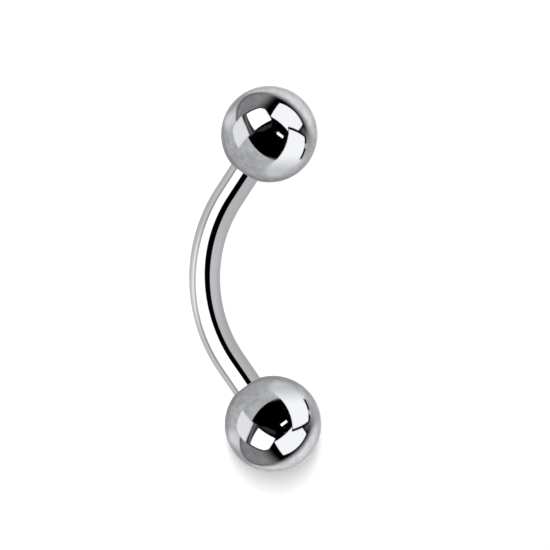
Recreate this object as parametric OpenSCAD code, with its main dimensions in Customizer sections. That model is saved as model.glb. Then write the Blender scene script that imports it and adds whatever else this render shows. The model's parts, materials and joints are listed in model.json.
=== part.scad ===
// Curved eyebrow barbell: a bent round bar with a screw-on ball at each end.
// It lies at rest on both balls and on the middle of its bow, with +Y along the
// line through the two balls, the bow towards -X and +Z up from the surface.

/* [Bar] */
// Diameter of the bar, 16 gauge
bar_d = 1.3; // [1.0:0.1:1.6]
// Wearing length, straight across from one ball to the other
wear_len = 8; // [7:0.5:14]
// Radius of the bend, to the middle of the bar
bend_r = 6; // [4:0.25:7.5]
// Angle that each end of the bar is bent by
bend_angle = 35; // [25:1:40]

/* [Balls] */
// Diameter of each ball
ball_d = 4; // [3:0.5:6]
// How far the bar goes into each ball
seat_depth = 0.34; // [0.2:0.02:0.5]
// Metal left beyond the tip of the drilled hole
end_wall = 0.9; // [0.6:0.05:1.2]
// Angle of the drill's point
drill_angle = 118; // [90:1:140]
// Width of the broken edge round the hole's mouth
mouth_bevel = 0.04; // [0.02:0.01:0.1]

/* [Thread] */
// Distance from one turn of the thread to the next
thread_pitch = 0.25; // [0.2:0.05:0.35]
// Height of the shoulder between the bar and the thread
shoulder = 0.05; // [0.03:0.01:0.15]
// Width of the broken edge round the shoulder
shoulder_bevel = 0.03; // [0.01:0.01:0.05]
// Width of the plain neck between the shoulder and the thread
neck_w = 0.2; // [0.1:0.05:0.4]

/* [Fit] */
// Gap all round between the bar and its seat in the ball
seat_gap = 0.02; // [0.02:0.01:0.06]
// Gap between the shoulder and the floor of its seat
shoulder_gap = 0.02; // [0.01:0.01:0.1]
// Gap all round between the thread and the ball's hole
thread_gap = 0.03; // [0.02:0.01:0.06]
// Gap between the thread's tip and the end of the ball's hole
tip_gap = 0.25; // [0.1:0.05:0.4]

/* [Hidden] */
$fn = 96;

bar_r = bar_d / 2;
ball_r = ball_d / 2;

// The bar's middle line: an arc, then a straight stretch to each ball's centre
half_span = wear_len / 2 + ball_r;
straight_len = (half_span - bend_r * sin(bend_angle)) / cos(bend_angle);
bow = bend_r * (1 - cos(bend_angle)) + straight_len * sin(bend_angle);

// Radii that fit into each other, from the bar inwards
thread_r = bar_r - shoulder;
seat_r = bar_r + seat_gap;
hole_r = thread_r + thread_gap;

// Distances from the ball's centre, positive towards the bar
mouth_at = sqrt(pow(ball_r, 2) - pow(seat_r, 2));
seat_at = mouth_at - seat_depth;
hole_end_at = hole_r / tan(drill_angle / 2) + end_wall - ball_r;
shoulder_at = seat_at + shoulder_gap;
tip_at = hole_end_at + tip_gap;

// A standard 60 degree thread is cut this deep, as a share of its pitch
thread_share = 0.613;
groove = thread_share * thread_pitch;
root_r = thread_r - groove;
neck_end_at = shoulder_at - neck_w;
turns = floor((neck_end_at - tip_at - groove) / thread_pitch);

// How far the bend of each half runs on before it is cut, in degrees
cut_over = 10;

// The balls are thicker than the bar, so at rest the bow dips by this angle
rest_tilt = asin((ball_r - bar_r) / bow);
balls_x = (bow * cos(rest_tilt) + bar_r - ball_r) / 2;

// From the bar's own plane to the way that the barbell lies
module lay_down()
    translate([balls_x, 0, ball_r]) rotate([0, -rest_tilt, 0]) children();

// At the bend's centre, turned so that the end of the bend lies at [-bend_r, 0]
module at_bend()
    translate([bend_r - bow, 0, 0]) rotate([0, 0, -bend_angle]) children();

// From there to the ball's centre, with the bar coming in from above
module along_end()
    translate([-bend_r, straight_len, 0]) rotate([90, 0, 0]) children();

// At the centre of one ball: side is 1 for the upper and -1 for the lower
module at_ball(side)
    lay_down() mirror([0, side > 0 ? 0 : 1, 0]) at_bend() along_end() children();

// One V-shaped groove below a crest at height z, as points of the outline
function groove_points(z) =
    [[thread_r, z], [root_r, z - thread_pitch / 2]];

// Outline of one end of the bar, from the bend to the thread's tip
function bar_end_outline() = concat(
    [[0, straight_len],
     [bar_r, straight_len],
     [bar_r, shoulder_at + shoulder_bevel],
     [bar_r - shoulder_bevel, shoulder_at],
     [root_r, shoulder_at],
     [root_r, neck_end_at]],
    [for (turn = [0 : turns - 1])
        each groove_points(neck_end_at - thread_pitch / 2 - turn * thread_pitch)],
    [[thread_r, tip_at + groove],
     [root_r, tip_at],
     [0, tip_at]]);

// Outline of the space inside a ball: mouth, seat, threaded hole, drill point
function ball_hole_outline() =
    [[0, ball_r],
     [seat_r + ball_r - mouth_at + mouth_bevel, ball_r],
     [seat_r, mouth_at - mouth_bevel],
     [seat_r, seat_at],
     [hole_r, seat_at],
     [hole_r, hole_end_at],
     [0, hole_end_at - hole_r / tan(drill_angle / 2)]];

// Half of the bar: its bend runs past the middle and is cut there
module half_bar() {
    intersection() {
        at_bend() {
            rotate_extrude(angle = bend_angle + cut_over, start = 180)
                translate([bend_r, 0]) circle(r = bar_r);
            along_end() rotate_extrude() polygon(bar_end_outline());
        }
        translate([-half_span, 0, -bar_d]) cube([2 * half_span, 2 * half_span, 2 * bar_d]);
    }
}

// The bent bar with a thread on each end, one solid
module curved_bar() {
    color("silver") lay_down() {
        half_bar();
        mirror([0, 1, 0]) half_bar();
    }
}

// A ball that screws on, with its seat and hole
module screw_ball(side) {
    color("gainsboro") at_ball(side) difference() {
        sphere(r = ball_r);
        rotate_extrude() polygon(ball_hole_outline());
    }
}

module upper_ball() { screw_ball(1); }
module lower_ball() { screw_ball(-1); }

curved_bar();
upper_ball();
lower_ball();
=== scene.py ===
# Curved eyebrow barbell in mirror-polished titanium, lying on a pale studio table
import json
from math import asin, cos, pi, radians, sin, sqrt, tan

import bpy
from mathutils import Matrix, Vector


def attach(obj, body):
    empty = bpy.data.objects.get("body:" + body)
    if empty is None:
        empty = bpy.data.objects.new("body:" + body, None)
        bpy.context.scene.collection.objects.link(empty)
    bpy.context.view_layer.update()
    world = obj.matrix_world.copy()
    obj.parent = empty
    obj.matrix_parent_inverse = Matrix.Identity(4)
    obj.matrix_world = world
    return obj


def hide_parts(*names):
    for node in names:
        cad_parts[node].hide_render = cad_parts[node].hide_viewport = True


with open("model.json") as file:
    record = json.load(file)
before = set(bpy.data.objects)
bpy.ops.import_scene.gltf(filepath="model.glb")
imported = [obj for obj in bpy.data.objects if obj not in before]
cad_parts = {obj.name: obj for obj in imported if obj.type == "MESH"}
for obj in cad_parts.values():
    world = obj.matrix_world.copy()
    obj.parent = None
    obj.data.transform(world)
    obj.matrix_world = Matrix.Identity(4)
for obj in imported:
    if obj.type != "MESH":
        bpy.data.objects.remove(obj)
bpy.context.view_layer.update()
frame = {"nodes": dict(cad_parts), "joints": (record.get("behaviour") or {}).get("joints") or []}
print("frame loaded:", ", ".join(sorted(frame["nodes"])))

mm = 0.001
scene = bpy.context.scene
scene.view_settings.view_transform = "Standard"
scene.view_settings.look = "None"

# Lengths in mm and angles in degrees, as on the frame
bar = {
    "diameter": 1.3,
    "wearLength": 8.0,
    "bendRadius": 6.0,
    "bendAngle": 35.0,         # to each side of the bar's middle
    "shoulderHeight": 0.05,
    "shoulderRound": 0.03,
    "neckWidth": 0.2,
    "neckFillet": 0.02,        # in the corner between shoulder and neck
    "threadPitch": 0.25,
    "threadDepthShare": 0.613,
    "crestShare": 0.15,        # flat top of the thread, as a share of the pitch
    "rootShare": 0.08,         # flat bottom of its groove, likewise
    "threadGrowth": 0.6,       # turns in which the thread rises out of the neck
    "pointsAround": 144,
    "ringStep": 0.1,           # between rings on the polished part
    "ringsPerTurn": 14,        # on the thread
    "shoulderRings": 6,
}
ball = {
    "diameter": 4.0,
    "seatDepth": 0.34,
    "endWall": 0.9,
    "drillAngle": 118.0,
    "mouthRound": 0.04,
    "seatGap": 0.02,
    "shoulderGap": 0.02,
    "threadGap": 0.03,
    "tipGap": 0.25,
    "threadStart": 0.02,       # from the seat to the first turn in the hole
    "innerGroove": 0.09,       # depth of the thread cut into the hole
    "threadGrowth": 0.5,       # turns in which it fades at either end
    "pointsAround": 192,
    "outerRings": 128,         # from the outer pole to the hole's mouth
    "mouthRings": 8,
}
crispEdge = 0.01               # from a sharp edge to the ring that keeps it sharp

# Sizes that follow, in mm; places along an end are counted from the ball's centre to the bar
barR = bar["diameter"] / 2
ballR = ball["diameter"] / 2
bend = radians(bar["bendAngle"])
halfSpan = bar["wearLength"] / 2 + ballR
straight = (halfSpan - bar["bendRadius"] * sin(bend)) / cos(bend)
bow = bar["bendRadius"] * (1 - cos(bend)) + straight * sin(bend)
tilt = asin((ballR - barR) / bow)
pitch = bar["threadPitch"]
threadR = barR - bar["shoulderHeight"]
grooveDepth = bar["threadDepthShare"] * pitch
rootR = threadR - grooveDepth
seatR = barR + ball["seatGap"]
holeR = threadR + ball["threadGap"]
mouthAt = sqrt(ballR ** 2 - seatR ** 2)
seatAt = mouthAt - ball["seatDepth"]
drillPoint = holeR / tan(radians(ball["drillAngle"] / 2))
holeEndAt = drillPoint + ball["endWall"] - ballR
shoulderAt = seatAt + ball["shoulderGap"]
neckEndAt = shoulderAt - bar["neckWidth"]
tipAt = holeEndAt + ball["tipGap"]

# The bar's own plane: towards the bow, along the barbell, and square to both
bowWay = Vector((-cos(tilt), 0, -sin(tilt)))
alongWay = Vector((0, 1, 0))
planeWay = Vector((-sin(tilt), 0, cos(tilt)))
chordMiddle = Vector(((bow * cos(tilt) + barR - ballR) / 2, 0, ballR))
ends = {
    "upper_ball": {"side": 1, "centre": chordMiddle + alongWay * halfSpan},
    "lower_ball": {"side": -1, "centre": chordMiddle - alongWay * halfSpan},
}
for joint in frame["joints"]:
    ends[joint["child"]]["outWay"] = Vector(joint["axis"]).normalized()


def camelName(nodeName):
    first, *others = nodeName.split("_")
    return first + "".join(word.capitalize() for word in others)


def between(low, high, value):
    # 0 at low, 1 at high, and even between them
    return min(max((value - low) / (high - low), 0.0), 1.0)


def skinRings(name, rings, finishes, finishOf):
    # Joins rings of points into one closed skin; the first and the last ring are single points
    points = [point * mm for ring in rings for point in ring]
    faces = []
    faceFinish = []
    start = 0
    for index, (here, after) in enumerate(zip(rings, rings[1:])):
        nextStart = start + len(here)
        count = max(len(here), len(after))
        for i in range(count):
            j = (i + 1) % count
            corners = [start + i % len(here), start + j % len(here),
                       nextStart + j % len(after), nextStart + i % len(after)]
            faces.append(list(dict.fromkeys(corners)))     # a triangle at a single point
            faceFinish.append(finishOf[index])
        start = nextStart
    mesh = bpy.data.meshes.new(name)
    mesh.from_pydata([tuple(point) for point in points], [], faces)
    for finish in finishes:
        mesh.materials.append(finish)
    mesh.polygons.foreach_set("material_index", faceFinish)
    mesh.polygons.foreach_set("use_smooth", [True] * len(faces))
    mesh.update()
    obj = bpy.data.objects.new(name, mesh)
    scene.collection.objects.link(obj)
    return obj


def anglesRound(count):
    return [2 * pi * i / count for i in range(count)]


def ringAt(centre, way, angles, radii):
    # One ring round centre, square to way, with a radius at each angle
    acrossWay = way.cross(planeWay)
    return [centre + planeWay * radius * cos(angle) + acrossWay * radius * sin(angle)
            for angle, radius in zip(angles, radii)]


def threadShare(place, angle):
    # 1 on the crest of a right-hand thread and 0 in its groove
    turn = (place / pitch - angle / (2 * pi)) % 1.0
    return between(bar["rootShare"], 1 - bar["crestShare"], abs(2 * turn - 1))


# Colours, nodes and finishes
def linear(hexColour):
    # sRGB hex to linear red, green and blue, and full alpha
    channels = [int(hexColour[i:i + 2], 16) / 255 for i in (1, 3, 5)]
    return (*[c / 12.92 if c <= 0.04045 else ((c + 0.055) / 1.055) ** 2.4 for c in channels], 1)


def addNode(tree, kind, inputs=(), output=0, **settings):
    # Adds a node, sets or links its inputs by name or in their order, and returns one output
    node = tree.nodes.new("ShaderNode" + kind)
    for name, value in settings.items():
        setattr(node, name, value)
    for key, value in (inputs.items() if isinstance(inputs, dict) else enumerate(inputs)):
        if isinstance(value, bpy.types.NodeSocket):
            tree.links.new(value, node.inputs[key])
        else:
            node.inputs[key].default_value = value
    return node.outputs[output] if node.outputs else None


def startMaterial(name):
    material = bpy.data.materials.new(name)
    material.use_nodes = True
    material.node_tree.nodes.clear()
    return material, material.node_tree


def closeMaterial(tree, shaderInputs):
    shader = addNode(tree, "BsdfPrincipled", shaderInputs)
    addNode(tree, "OutputMaterial", {"Surface": shader})


polishedTitanium = {
    "colour": "#C7C8CB",
    "cleanRoughness": 0.012,
    "smudgeRoughness": 0.05,
    "smudgeSize": 0.9,         # mm across a thumb smudge
    "waveSize": 1.3,           # mm between the slight waves that a polishing mop leaves
    "waveHeight": 0.0004,      # mm
    "hairRoughness": 0.09,
    "hairWidth": 0.035,        # mm, drawn several times wider than a real hairline
    "hairLength": 1.6,         # mm
    "hairTurns": (20, 75, 140),    # degrees: three passes of the mop
}


def makePolishedTitanium():
    # Surgical titanium, turned and then mirror-polished: crisp dark and white reflections,
    # softened only by faint smudges, hairlines and the slight waves of hand polishing
    look = polishedTitanium
    material, tree = startMaterial("mirrorPolishedTitanium")
    place = addNode(tree, "TexCoord", output="Object")
    smudge = addNode(tree, "TexNoise", {
        "Vector": place, "Scale": 1 / (look["smudgeSize"] * mm), "Detail": 4, "Roughness": 0.6})
    rough = addNode(tree, "MapRange", {
        "Value": smudge, "From Min": 0.45, "From Max": 0.75,
        "To Min": look["cleanRoughness"], "To Max": look["smudgeRoughness"]})
    hairScale = (1 / (look["hairLength"] * mm), 1 / (look["hairWidth"] * mm), 1 / (look["hairWidth"] * mm))
    for turn in look["hairTurns"]:
        slanted = addNode(tree, "Mapping", {
            "Vector": place, "Scale": hairScale,
            "Rotation": (radians(turn), radians(turn / 2), radians(turn))})
        lines = addNode(tree, "TexNoise", {"Vector": slanted, "Scale": 1, "Detail": 0})
        hairs = addNode(tree, "MapRange", {
            "Value": lines, "From Min": 0.68, "From Max": 0.74,
            "To Min": 0, "To Max": look["hairRoughness"]})
        rough = addNode(tree, "Math", [rough, hairs], operation="MAXIMUM")
    wave = addNode(tree, "TexNoise", {
        "Vector": place, "Scale": 1 / (look["waveSize"] * mm), "Detail": 1})
    waves = addNode(tree, "Bump", {
        "Height": wave, "Distance": look["waveHeight"] * mm, "Strength": 1})
    closeMaterial(tree, {
        "Base Color": linear(look["colour"]), "Metallic": 1, "Roughness": rough, "Normal": waves})
    return material


turnedTitanium = {
    "colour": "#B4B3B1",
    "roughness": 0.24,
    "roughnessSwing": 0.4,     # share by which the grain changes it, either way
    "grainSize": 0.06,         # mm
    "grainHeight": 0.001,      # mm
}


def makeTurnedTitanium():
    # Surgical titanium as the thread-cutting tool left it: duller and grainier than the polish
    look = turnedTitanium
    material, tree = startMaterial("turnedTitanium")
    place = addNode(tree, "TexCoord", output="Object")
    grain = addNode(tree, "TexNoise", {
        "Vector": place, "Scale": 1 / (look["grainSize"] * mm), "Detail": 3})
    rough = addNode(tree, "MapRange", {
        "Value": grain,
        "To Min": look["roughness"] * (1 - look["roughnessSwing"]),
        "To Max": look["roughness"] * (1 + look["roughnessSwing"])})
    bumps = addNode(tree, "Bump", {
        "Height": grain, "Distance": look["grainHeight"] * mm, "Strength": 1})
    closeMaterial(tree, {
        "Base Color": linear(look["colour"]), "Metallic": 1, "Roughness": rough, "Normal": bumps})
    return material


finishes = [makePolishedTitanium(), makeTurnedTitanium()]
polished, turned = 0, 1        # places in that list
print("titanium finishes made")


# The bar: one skin from tip to tip, polished between the shoulders and threaded beyond
def routePoint(place):
    # Middle line of the bar, and its direction, at a distance from the middle of the bend
    reach = abs(place)
    side = 1 if place >= 0 else -1
    angle = min(reach / bar["bendRadius"], bend)
    past = max(reach - bar["bendRadius"] * bend, 0)
    toBow = bow - bar["bendRadius"] * (1 - cos(angle)) - past * sin(angle)
    along = bar["bendRadius"] * sin(angle) + past * cos(angle)
    centre = chordMiddle + bowWay * toBow + alongWay * along * side
    way = alongWay * cos(angle) - bowWay * sin(angle) * side
    return centre, way


def endStations():
    # Rings of one end, from the shoulder to the tip: place, radius and how much thread
    edge = bar["shoulderRound"]
    fillet = bar["neckFillet"]
    rows = []
    for step in range(bar["shoulderRings"] + 1):
        angle = pi / 2 * step / bar["shoulderRings"]
        rows.append((shoulderAt + edge * (1 - sin(angle)), barR - edge * (1 - cos(angle)), 0))
    for down, out in ((0, 1), (0.3, 0.3), (1, 0)):     # through the fillet
        rows.append((shoulderAt - fillet * down, rootR + fillet * out, 0))
    rows.append((neckEndAt, rootR, 0))
    threadLength = neckEndAt - tipAt
    count = round(threadLength / pitch * bar["ringsPerTurn"])
    for step in range(1, count):
        rows.append((neckEndAt - threadLength * step / count, rootR, 1))
    rows += [(tipAt, rootR - crispEdge, 0), (tipAt, rootR / 2, 0)]
    return rows


def makeBar():
    ballPlace = bar["bendRadius"] * bend + straight
    polishedEnd = ballPlace - shoulderAt - bar["shoulderRound"]
    count = round(2 * polishedEnd / bar["ringStep"])
    endRows = endStations()
    stations = [(at - ballPlace, radius, thread) for at, radius, thread in reversed(endRows)]
    stations += [(polishedEnd * (2 * step / count - 1), barR, 0) for step in range(1, count)]
    stations += [(ballPlace - at, radius, thread) for at, radius, thread in endRows]
    angles = anglesRound(bar["pointsAround"])
    rings = [[routePoint(tipAt - ballPlace)[0]]]
    for place, radius, thread in stations:
        centre, way = routePoint(place)
        at = ballPlace - abs(place)
        ridge = between(neckEndAt, neckEndAt - bar["threadGrowth"] * pitch, at) * grooveDepth * thread
        limit = max(rootR + at - tipAt, radius)    # the chamfer at the tip
        radii = [min(radius + ridge * threadShare(place, angle), limit) for angle in angles]
        rings.append(ringAt(centre, way, angles, radii))
    rings.append([routePoint(ballPlace - tipAt)[0]])
    brightEnd = ballPlace - shoulderAt + 1e-6      # a hair past the shoulder, against rounding
    bright = [abs(place) < brightEnd for place, radius, thread in stations]
    finishOf = [turned]
    finishOf += [polished if both == (True, True) else turned for both in zip(bright, bright[1:])]
    finishOf += [turned]
    obj = skinRings("polishedBar", rings, finishes, finishOf)
    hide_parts("curved_bar")
    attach(obj, "bar")
    return obj


barPiece = makeBar()
print("bar made,", len(barPiece.data.polygons), "faces")


# Each ball: polished outside, with the seat and the threaded hole that the bar screws into
def outerStations():
    # From the outer pole over the ball and round the edge of its mouth: place and radius
    edge = ball["mouthRound"]
    lipR = seatR + edge
    lipAt = sqrt((ballR - edge) ** 2 - lipR ** 2)      # centre of the rounding at the mouth
    lipAngle = asin(lipR / (ballR - edge))
    rows = []
    for step in range(1, ball["outerRings"] + 1):
        angle = (pi - lipAngle) * step / ball["outerRings"]
        rows.append((-ballR * cos(angle), ballR * sin(angle)))
    for step in range(1, ball["mouthRings"] + 1):
        angle = lipAngle + (pi - lipAngle) * step / ball["mouthRings"]
        rows.append((lipAt + edge * cos(angle), lipR + edge * sin(angle)))
    return rows


def holeStations():
    # From the seat to the drill's point: place, radius and how much thread
    rows = [(seatAt + crispEdge, seatR, 0), (seatAt, seatR - crispEdge, 0), (seatAt, holeR + crispEdge, 0)]
    threadStart = seatAt - ball["threadStart"]
    count = round((threadStart - holeEndAt) / pitch * bar["ringsPerTurn"])
    for step in range(count + 1):
        rows.append((threadStart + (holeEndAt - threadStart) * step / count, holeR, 1))
    for share in (0.75, 0.5, 0.25):    # down the drill's cone
        rows.append((holeEndAt - drillPoint * (1 - share), holeR * share, 0))
    return rows


def makeBall(name):
    centre = ends[name]["centre"]
    outWay = ends[name]["outWay"]
    outer = [(at, radius, 0) for at, radius in outerStations()]
    inner = holeStations()
    growth = ball["threadGrowth"] * pitch
    angles = anglesRound(ball["pointsAround"])
    rings = [[centre + outWay * ballR]]
    for at, radius, thread in outer + inner:
        fade = between(seatAt, seatAt - growth, at) * between(holeEndAt, holeEndAt + growth, at)
        groove = ball["innerGroove"] * fade * thread
        radii = [radius + groove * (1 - threadShare(-at, angle)) for angle in angles]
        rings.append(ringAt(centre - outWay * at, outWay, angles, radii))
    rings.append([centre - outWay * (holeEndAt - drillPoint)])
    finishOf = [polished] * (len(outer) + 1) + [turned] * len(inner)
    # The rings run backwards, so that the faces look out of the metal
    obj = skinRings(camelName(name) + "Polished", rings[::-1], finishes, finishOf[::-1])
    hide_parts(name)
    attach(obj, name)
    return obj


ballPieces = {name: makeBall(name) for name in ends}
print("balls made,", len(ballPieces["upper_ball"].data.polygons), "faces each")

# Camera: square to the barbell, turned a little about it so that the bow runs back from the eye
camera = {
    "turn": 15.0,              # degrees
    "roll": 0.747,             # degrees that the barbell leans in the picture
    "lens": 150.0,
    "viewWidth": 22.765,       # mm across the picture at the barbell
    "aimRight": 0.157,         # mm from the middle of the barbell to the picture's centre
    "aimUp": 0.171,
    "nearest": 1.0,            # mm from the lens to the nearest thing that it sees
}
eyeTilt = tilt - radians(camera["turn"])       # from straight above, about the barbell
eyeWay = Vector((-sin(eyeTilt), 0, cos(eyeTilt)))
sideWay = Vector((cos(eyeTilt), 0, sin(eyeTilt)))
roll = radians(camera["roll"])
rightWay = sideWay * cos(roll) - alongWay * sin(roll)
upWay = alongWay * cos(roll) + sideWay * sin(roll)
cameraData = bpy.data.cameras.new("studioCamera")
cameraData.lens = camera["lens"]
cameraData.clip_start = camera["nearest"] * mm
cameraObject = bpy.data.objects.new("studioCamera", cameraData)
scene.collection.objects.link(cameraObject)
distance = camera["viewWidth"] * camera["lens"] / cameraData.sensor_width
aim = chordMiddle + rightWay * camera["aimRight"] + upWay * camera["aimUp"]
eye = aim + eyeWay * distance
cameraObject.matrix_world = Matrix((rightWay, upWay, eyeWay)).transposed().to_4x4()
cameraObject.location = eye * mm
scene.camera = cameraObject
print("camera at", [round(v, 2) for v in eye], "mm")

# Table: a wide sheet of matt white acrylic
table = {"colour": "#F4F4F5", "roughness": 0.55, "specular": 0.2, "width": 4000.0}


def makeTable():
    # Sanded white acrylic: an even pale ground with only a dull sheen
    material, tree = startMaterial("mattWhiteAcrylic")
    closeMaterial(tree, {
        "Base Color": linear(table["colour"]), "Roughness": table["roughness"],
        "Specular IOR Level": table["specular"]})
    half = table["width"] / 2 * mm
    corners = [(-half, -half, 0), (half, -half, 0), (half, half, 0), (-half, half, 0)]
    mesh = bpy.data.meshes.new("studioTable")
    mesh.from_pydata(corners, [], [(0, 1, 2, 3)])
    mesh.materials.append(material)
    obj = bpy.data.objects.new("studioTable", mesh)
    scene.collection.objects.link(obj)
    obj.visible_glossy = False     # the metal mirrors its tents alone
    return obj


tableObject = makeTable()
print("table made")

# Light tents: six square lights round each piece, which shine on that piece alone and share one
# pattern. Each glow is how bright that part of the tent looks in the metal, where 1 is white
reflectivity = sum(linear(polishedTitanium["colour"])[:3]) / 3
tentReach = 200.0              # mm from a piece to the walls of its tent
smooth = {"interpolation_type": "SMOOTHSTEP"}


def linkLight(obj, receiver, blocker=None):
    for use, piece in (("receiver", receiver), ("blocker", blocker)):
        if piece:
            group = bpy.data.collections.new(obj.name + use.capitalize())
            group.objects.link(piece)
            setattr(obj.light_linking, use + "_collection", group)


def hangTent(name, centre, piece, paint):
    # paint builds the pattern from the direction in which the metal sees the tent
    width = 2 * tentReach * mm
    data = bpy.data.lights.new(name + "Tent", "AREA")
    data.shape = "SQUARE"
    data.size = width
    data.energy = width ** 2 * pi / reflectivity
    data.use_nodes = True
    tree = data.node_tree
    tree.nodes.clear()
    place = addNode(tree, "NewGeometry", output="Position")
    offset = addNode(tree, "VectorMath", [place, centre * mm], operation="SUBTRACT")
    way = addNode(tree, "VectorMath", [offset], operation="NORMALIZE")
    emission = addNode(tree, "Emission", {"Color": paint(tree, way)})
    addNode(tree, "OutputLight", {"Surface": emission})
    for axis in (Vector((1, 0, 0)), Vector((0, 1, 0)), Vector((0, 0, 1))):
        for facing in (axis, -axis):
            obj = bpy.data.objects.new(name + "TentWall", data)
            scene.collection.objects.link(obj)
            obj.rotation_euler = facing.to_track_quat("Z", "Y").to_euler()
            obj.location = (centre + facing * tentReach) * mm
            obj.visible_camera = False
            linkLight(obj, piece)


# The balls' pattern. Spots are on the upper ball's face, right and up in shares of its radius,
# and the lower ball shows them upside down. Each fade names where it starts and where it ends:
# across from the middle, up from it, or towards the eye, which is 0 at the rim and 1 in the middle
ballTent = {
    "shiftRight": -0.0125,     # of the whole pattern on the face
    "paleNear": 0.34,          # glow of the surroundings at the lower left
    "paleFar": 0.68,           # and at the upper right
    "farWay": (0.6, 0.8),      # across and up, from the one to the other
    "farReach": 0.9,           # how far from the middle each of them is full
    "rimShade": 0.67,          # how much of it is left at the ball's very edge
    "rimFade": (0.6, 0.14),
    "ringShade": 0.84,         # and how much of the rest in a thin ring just inside
    "ringInside": (0.44, 0.33),
    "ringOutside": (0.17, 0.27),
    "mottle": 0.20,            # how much the surroundings vary, either way
    "mottleScale": 7,          # clouds of that across the ball's radius
    "hoodCentre": (0.08, 0.15),
    "hoodTurn": -40.0,         # degrees from level to the hood's long way
    "hoodLong": 0.84,          # half its length
    "hoodWide": 0.60,          # and half its width
    "hoodSides": (-0.3, 0.2),  # across, from the crisp left side to the soft right one
    "hoodInner": (0.985, 0.90),    # where its edge starts on those sides, as shares of its size
    "hoodOuter": (1.03, 1.12),     # and where it ends
    "hoodLine": [(-0.416, -0.076), (0.124, -0.536)],   # it stops at the curve through these
    "tuckSlope": 0.45,         # but goes on behind the left panel, above this slope
    "tuckFade": (-0.24, -0.20),
    "rightFade": (0.64, 0.72),     # it ends across here
    "rightFadeUp": (0.15, -0.30),  # in the lower part alone
    "hazeGlow": 0.21,          # dim wall that shows in the hood's upper left
    "hazeFade": (-0.53, -0.90),    # across less up
    "hazeFadeUp": (0.0, 0.40),
    "hazeRim": 0.60,           # how much of it is left along the hood's edge
    "hazeRimFade": (0.93, 0.985),
    "lowGlow": 0.52,           # to which the low panels fade at the bottom
    "lowFadeUp": (-0.80, -0.38),
    "lowFadeRim": (0.44, 0.64),
}
ballSheens = [                 # soft round patches of the surroundings, lighter or darker
    {"spot": (-0.80, 0.35), "reach": 0.95, "glow": 0.62},
    {"spot": (0.80, -0.22), "reach": 0.93, "glow": 0.34},
    {"spot": (-0.70, 0.67), "reach": 0.90, "glow": 0.33},
    {"spot": (0.14, -0.74), "reach": 0.955, "glow": 0.56},
]
ballPanels = {                 # each is laid over those above it
    "wallGap": {"glow": 0.035, "edge": 0.05,
                "spots": [(-0.56, 0.37), (-0.44, 0.44), (-0.27, 0.05), (-0.38, -0.04)]},
    "gapLight": {"glow": 0.13, "edge": 0.02,
                 "spots": [(-0.49, 0.40), (-0.455, 0.40), (-0.32, 0.0), (-0.355, 0.0)]},
    "streak": {"glow": 0.025, "edge": 0.03,
               "spots": [(-0.27, 0.05), (0.06, 0.225), (0.06, 0.15), (-0.12, 0.06)]},
    "windowRim": {"glow": 0.055,
                  "spots": [(-0.48, 0.425), (-0.175, 0.56), (-0.065, 0.535), (0.05, 0.30),
                            (-0.29, 0.09)]},
    "window": {"glow": 1.3,
               "spots": [(-0.45, 0.405), (-0.17, 0.53), (-0.08, 0.507), (0.052, 0.292),
                         (-0.285, 0.082)]},
    "rightPanel": {"glow": 0.92,
                   "spots": [(0.040, 0.362), (0.224, 0.634), (0.69, 0.20), (0.60, 0.070),
                             (0.412, 0.043)]},
    "rightNook": {"glow": 0.07, "edge": 0.08,
                  "spots": [(0.65, 0.06), (0.70, 0.14), (0.76, 0.08), (0.74, -0.03)]},
    "lowRim": {"glow": 0.0,
               "spots": [(0.392, 0.160), (0.763, -0.045), (0.667, -0.52), (0.27, -0.45)]},
    "rimBreak": {"glow": 0.42, "edge": 0.03,
                 "spots": [(0.69, -0.20), (0.79, -0.19), (0.78, -0.28), (0.68, -0.29)]},
    "lowSheen": {"glow": 0.92, "fades": True,
                 "spots": [(0.145, -0.52), (0.66, -0.50), (0.58, -0.74), (-0.02, -0.70)]},
    "lowPanel": {"glow": 0.92, "fades": True,
                 "spots": [(0.414, 0.10), (0.73, -0.06), (0.545, -0.615), (0.034, -0.62)]},
    "leftPanel": {"glow": 0.75, "edge": 0.04,
                  "spots": [(-0.735, 0.11), (-0.55, 0.37), (-0.463, 0.165), (-0.388, -0.02),
                            (-0.61, -0.287)]},
    "spark": {"glow": 1.3,
              "spots": [(0.188, 0.048), (0.305, -0.043), (0.281, -0.083), (0.160, 0.006)]},
}
panelEdge = 0.016              # softness of a panel's edges, where it names none


def spotNormal(spot, axes):
    # Which way a ball's face looks at a spot; axes are right, up and towards the eye
    right, up, view = axes
    across = spot[0] + ballTent["shiftRight"]
    high = spot[1]
    return right * across + up * high + view * sqrt(1 - across ** 2 - high ** 2)


def mirroredWay(spot, axes):
    # Direction that a ball shows at a spot of its face
    normal = spotNormal(spot, axes)
    view = axes[2]
    return normal * (2 * normal.dot(view)) - view


def inwardWay(here, after, middle):
    # Square to the plane through two directions, on the side of middle
    inward = here.cross(after).normalized()
    return inward if inward.dot(middle) > 0 else -inward


def readFace(tree, way, axes):
    # The face that mirrors this way, where it is on the ball, and the clouds there
    look = ballTent
    right, up, view = axes
    halfway = addNode(tree, "VectorMath", [way, view], operation="ADD")
    face = addNode(tree, "VectorMath", [halfway], operation="NORMALIZE")
    fromMiddle, high, toEye = [
        addNode(tree, "VectorMath", [face, axis], "Value", operation="DOT_PRODUCT") for axis in axes]
    across = addNode(tree, "Math", [fromMiddle, look["shiftRight"]], operation="SUBTRACT")
    clouds = addNode(tree, "TexNoise", {
        "Vector": face, "Scale": look["mottleScale"], "Detail": 5, "Roughness": 0.7})
    uneven = addNode(tree, "MapRange", {
        "Value": clouds, "From Min": 0.3, "From Max": 0.7,
        "To Min": 1 - look["mottle"], "To Max": 1 + look["mottle"]})
    return {"way": way, "face": face, "across": across, "high": high, "toEye": toEye, "uneven": uneven}


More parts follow.
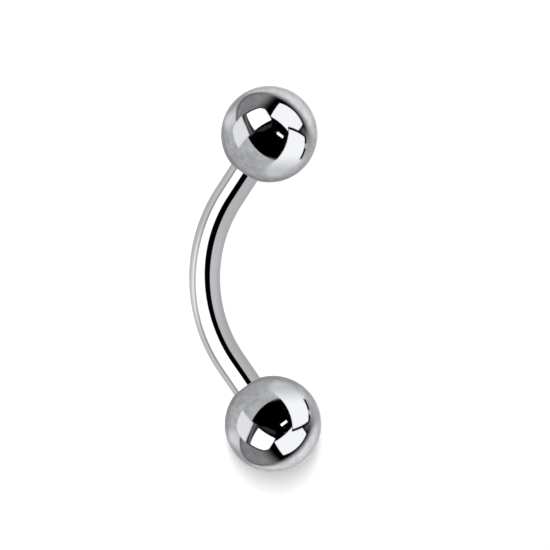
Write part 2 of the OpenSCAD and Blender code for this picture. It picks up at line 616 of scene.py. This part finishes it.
def paleStudio(tree, on, axes):
    # Surroundings: darker at the ball's edge, uneven, with soft patches and a thin shaded ring
    look = ballTent
    right, up, view = axes
    farWay = right * look["farWay"][0] + up * look["farWay"][1]
    toFar = addNode(tree, "VectorMath", [on["face"], farWay], "Value", operation="DOT_PRODUCT")
    glow = addNode(tree, "MapRange", [
        toFar, -look["farReach"], look["farReach"], look["paleNear"], look["paleFar"]])
    rim = addNode(tree, "MapRange", [on["toEye"], *look["rimFade"], 1, look["rimShade"]], **smooth)
    for factor in (rim, on["uneven"]):
        glow = addNode(tree, "Math", [glow, factor], operation="MULTIPLY")
    for sheen in ballSheens:
        middle = spotNormal(sheen["spot"], axes)
        toMiddle = addNode(tree, "VectorMath", [on["face"], middle], "Value", operation="DOT_PRODUCT")
        amount = addNode(tree, "MapRange", [toMiddle, sheen["reach"], 1], **smooth)
        glow = addNode(tree, "Mix", {"Factor": amount, "A": glow, "B": sheen["glow"]})
    ring = addNode(tree, "MapRange", [on["toEye"], *look["ringInside"]], **smooth)
    ring = addNode(tree, "MapRange", [on["toEye"], *look["ringOutside"], 0, ring], **smooth)
    shade = addNode(tree, "MapRange", [ring, 0, 1, 1, look["ringShade"]])
    return addNode(tree, "Math", [glow, shade], operation="MULTIPLY")


def hoodReach(tree, on, axes):
    # Where the face is in the hood, a leaning oval: 0 at its middle and 1 at its edge
    look = ballTent
    right, up, view = axes
    turn = radians(look["hoodTurn"])
    longWay = right * cos(turn) + up * sin(turn)
    wideWay = up * cos(turn) - right * sin(turn)
    middle = right * (look["hoodCentre"][0] + look["shiftRight"]) + up * look["hoodCentre"][1]
    middleAt = (middle.dot(longWay), middle.dot(wideWay), 0)
    halfSize = (look["hoodLong"], look["hoodWide"], 1)
    place = addNode(tree, "CombineXYZ", [
        addNode(tree, "VectorMath", [on["face"], axis], "Value", operation="DOT_PRODUCT")
        for axis in (longWay, wideWay)])
    offset = addNode(tree, "VectorMath", [place, middleAt], operation="SUBTRACT")
    shares = addNode(tree, "VectorMath", [offset, halfSize], operation="DIVIDE")
    return addNode(tree, "VectorMath", [shares], "Value", operation="LENGTH")


def darkHood(tree, on, axes, reach):
    # How much of the dark hood over the eye is seen: crisp at its left, soft at its right
    look = ballTent
    inner = addNode(tree, "MapRange", [on["across"], *look["hoodSides"], *look["hoodInner"]], **smooth)
    outer = addNode(tree, "MapRange", [on["across"], *look["hoodSides"], *look["hoodOuter"]], **smooth)
    hood = addNode(tree, "MapRange", [reach, outer, inner], **smooth)

    # It stops at a curved line below, but not behind the left panel, and fades at the right
    lineWays = [mirroredWay(spot, axes) for spot in look["hoodLine"]]
    inward = inwardWay(*lineWays, axes[2])
    overLine = addNode(tree, "VectorMath", [on["way"], inward], "Value", operation="DOT_PRODUCT")
    aboveLine = addNode(tree, "MapRange", [overLine, -panelEdge, panelEdge], **smooth)
    overSlope = addNode(tree, "Math", [on["across"], look["tuckSlope"], on["high"]],
                        operation="MULTIPLY_ADD")
    behindPanel = addNode(tree, "MapRange", [overSlope, *look["tuckFade"]], **smooth)
    kept = addNode(tree, "Math", [aboveLine, behindPanel], operation="MAXIMUM")
    hood = addNode(tree, "Math", [hood, kept], operation="MULTIPLY")
    fade = addNode(tree, "MapRange", [on["across"], *look["rightFade"]], **smooth)
    fade = addNode(tree, "MapRange", [on["high"], *look["rightFadeUp"], 0, fade], **smooth)
    return addNode(tree, "Mix", {"Factor": fade, "A": hood, "B": 0})


def hoodWall(tree, on, reach):
    # Glow inside the hood: none, but for a dim wall in its upper left
    look = ballTent
    slant = addNode(tree, "Math", [on["across"], on["high"]], operation="SUBTRACT")
    glow = addNode(tree, "MapRange", [slant, *look["hazeFade"], 0, look["hazeGlow"]], **smooth)
    glow = addNode(tree, "MapRange", [on["high"], *look["hazeFadeUp"], 0, glow], **smooth)
    rim = addNode(tree, "MapRange", [reach, *look["hazeRimFade"], 1, look["hazeRim"]], **smooth)
    for factor in (rim, on["uneven"]):
        glow = addNode(tree, "Math", [glow, factor], operation="MULTIPLY")
    return glow


def panelAmount(tree, way, corners, edge):
    # 1 where way points into the panel between these corner directions, and 0 outside
    middle = sum(corners, Vector())
    amount = 1.0
    for here, after in zip(corners, corners[1:] + corners[:1]):
        inward = inwardWay(here, after, middle)
        depth = addNode(tree, "VectorMath", [way, inward], "Value", operation="DOT_PRODUCT")
        amount = addNode(tree, "MapRange", [depth, -edge, edge, 0, amount], **smooth)
    return amount


def layPanel(tree, on, axes, panel, under):
    # The panel's glow over what is under it
    look = ballTent
    corners = [mirroredWay(spot, axes) for spot in panel["spots"]]
    amount = panelAmount(tree, on["way"], corners, panel.get("edge", panelEdge))
    glow = panel["glow"]
    if "fades" in panel:       # into the surroundings, at the bottom
        glow = addNode(tree, "MapRange", [on["high"], *look["lowFadeUp"], look["lowGlow"], glow], **smooth)
        amount = addNode(tree, "MapRange", [on["toEye"], *look["lowFadeRim"], 0, amount], **smooth)
    return addNode(tree, "Mix", {"Factor": amount, "A": under, "B": glow})


def ballPaint(axes):
    def paint(tree, way):
        on = readFace(tree, way, axes)
        reach = hoodReach(tree, on, axes)
        glow = addNode(tree, "Mix", {
            "Factor": darkHood(tree, on, axes, reach), "A": paleStudio(tree, on, axes),
            "B": hoodWall(tree, on, reach)})
        for panel in ballPanels.values():
            glow = layPanel(tree, on, axes, panel, glow)
        return glow

    return paint


for name, end in ends.items():
    view = (eye - end["centre"]).normalized()
    right = (rightWay - view * rightWay.dot(view)).normalized()
    up = view.cross(right) * end["side"]
    hangTent(camelName(name), end["centre"], ballPieces[name], ballPaint((right, up, view)))
print("balls' tents hung")

# The bar's pattern: bands along it. Places across it are shares of its radius from its middle
# line, right of it positive, and each has one glow midway along the bar and one at its ends.
# Its lean is how far it runs right in the picture: 0 midway, positive on the upper half
barBands = {
    "leftEdge": {"at": -1.0, "midway": 0.40, "ends": 0.38},
    "leftSide": {"at": -0.85, "midway": 0.52, "ends": 0.45},
    "paleLine": {"at": -0.72, "midway": 0.88, "ends": 0.56},
    "greyLine": {"at": -0.63, "midway": 0.44, "ends": 0.28},
    "greyLineEnd": {"at": -0.58, "midway": 0.44, "ends": 0.28},
    "window": {"at": -0.51, "midway": 1.25, "ends": 1.25},
    "windowEnd": {"at": 0.22, "midway": 1.25, "ends": 1.25},
    "rightSide": {"at": 0.24, "midway": 0.52, "ends": 0.46},
    "rightSideEnd": {"at": 0.66, "midway": 0.51, "ends": 0.45},
    "rightEdge": {"at": 1.0, "midway": 0.36, "ends": 0.36},
}
barTent = {
    "endLean": (0.10, 0.45),   # lean from which the ends' glow starts, and where it is full
    "fullSwing": 0.4,          # lean at which the bands have swung as far as they do
    "bandSwing": 0.055,        # to the right on the upper half, and to the left below
    "stripeLeft": 0.0,         # black stripe, a little right of the middle line
    "stripeLeftEdge": 0.03,    # softness
    "stripeLeftSwing": -0.06,
    "stripeRight": 0.35,
    "stripeRightEdge": 0.02,
    "stripeRightLean": -0.06,  # how far it moves for a lean of 1
}


def bandRamp(tree, share, column):
    place = addNode(tree, "MapRange", [share, -1, 1])
    bands = addNode(tree, "ValToRGB", [place])
    stops = bands.node.color_ramp.elements
    rows = list(barBands.values())
    for band in rows[1:-1]:
        stops.new((band["at"] + 1) / 2)
    for stop, band in zip(stops, rows):
        stop.color = (band[column], band[column], band[column], 1)
    return bands


def barPaint(tree, way):
    # The face that mirrors this way, how the bar runs where it has such a face, and how far the
    # face is from the bar's middle line there
    look = barTent
    halfway = addNode(tree, "VectorMath", [way, eyeWay], operation="ADD")
    face = addNode(tree, "VectorMath", [halfway], operation="NORMALIZE")
    toBow = addNode(tree, "VectorMath", [face, bowWay], "Value", operation="DOT_PRODUCT")
    bowSide = addNode(tree, "Math", [toBow], operation="SIGN")
    square = addNode(tree, "VectorMath", [face, planeWay], operation="CROSS_PRODUCT")
    upward = addNode(tree, "VectorMath", [square, bowSide], operation="MULTIPLY")
    run = addNode(tree, "VectorMath", [upward], operation="NORMALIZE")
    toSide = addNode(tree, "VectorMath", [run, eyeWay], operation="CROSS_PRODUCT")
    side = addNode(tree, "VectorMath", [toSide], operation="NORMALIZE")
    share = addNode(tree, "VectorMath", [face, side], "Value", operation="DOT_PRODUCT")
    lean = addNode(tree, "VectorMath", [run, rightWay], "Value", operation="DOT_PRODUCT")

    # Bands
    swing = addNode(tree, "MapRange", [lean, -look["fullSwing"], look["fullSwing"], -1, 1], **smooth)
    bandShare = addNode(tree, "Math", [swing, -look["bandSwing"], share], operation="MULTIPLY_ADD")
    steepness = addNode(tree, "Math", [lean], operation="ABSOLUTE")
    toEnds = addNode(tree, "MapRange", [steepness, *look["endLean"]], **smooth)
    glow = addNode(tree, "Mix", {
        "Factor": toEnds, "A": bandRamp(tree, bandShare, "midway"),
        "B": bandRamp(tree, bandShare, "ends")})

    # Black stripe over them
    left, leftEdge = look["stripeLeft"], look["stripeLeftEdge"]
    right, rightEdge = look["stripeRight"], look["stripeRightEdge"]
    fromLeft = addNode(tree, "Math", [swing, -look["stripeLeftSwing"], share], operation="MULTIPLY_ADD")
    fromRight = addNode(tree, "Math", [lean, -look["stripeRightLean"], share], operation="MULTIPLY_ADD")
    black = addNode(tree, "MapRange", [fromLeft, left - leftEdge, left + leftEdge], **smooth)
    black = addNode(tree, "MapRange", [fromRight, right + rightEdge, right - rightEdge, 0, black],
                    **smooth)
    return addNode(tree, "Mix", {"Factor": black, "A": glow, "B": 0})


hangTent("bar", chordMiddle, barPiece, barPaint)
for obj in [barPiece, *ballPieces.values()]:
    obj.visible_glossy = False     # each piece mirrors its own tent, not its neighbours
print("bar's tent hung")

# Table lights: each one's shadow is cast by one piece alone. It falls straight behind that piece
# as the eye sees it, but the lower ball's comes from a row of lights above the eye and shows
tableLights = {
    "lower_ball": {"glow": 0.54, "lifts": (3, 8, 13, 18, 23), "softness": 10.0},
    "upper_ball": {"glow": 0.27, "lifts": (0,), "softness": 3.0},
    "curved_bar": {"glow": 0.22, "lifts": (0,), "softness": 3.0},
}
for name, light in tableLights.items():
    piece = ballPieces.get(name, barPiece)
    centre = ends[name]["centre"] if name in ends else chordMiddle + bowWay * bow
    toEye = (eye - centre).normalized()
    glow = light["glow"] / len(light["lifts"])
    for degrees in light["lifts"]:
        lift = radians(degrees)
        way = (toEye * cos(lift) + upWay * sin(lift)).normalized()
        data = bpy.data.lights.new(camelName(name) + "Light", "SUN")
        data.energy = glow * pi / (linear(table["colour"])[1] * way.z)
        data.angle = radians(light["softness"])
        obj = bpy.data.objects.new(camelName(name) + "Light", data)
        scene.collection.objects.link(obj)
        obj.rotation_euler = way.to_track_quat("Z", "Y").to_euler()
        linkLight(obj, tableObject, piece)
print("table lights hung")


def makeWorld():
    # White behind everything, and dark to the metal, which has its tents
    world = bpy.data.worlds.new("whiteStudio")
    world.use_nodes = True
    scene.world = world
    tree = world.node_tree
    tree.nodes.clear()
    seen = addNode(tree, "LightPath", output="Is Camera Ray")
    background = addNode(tree, "Background", {"Color": linear("#FFFFFF"), "Strength": seen})
    addNode(tree, "OutputWorld", {"Surface": background})
    world.cycles_visibility.diffuse = False     # the table has lights of its own


makeWorld()
print("world made")
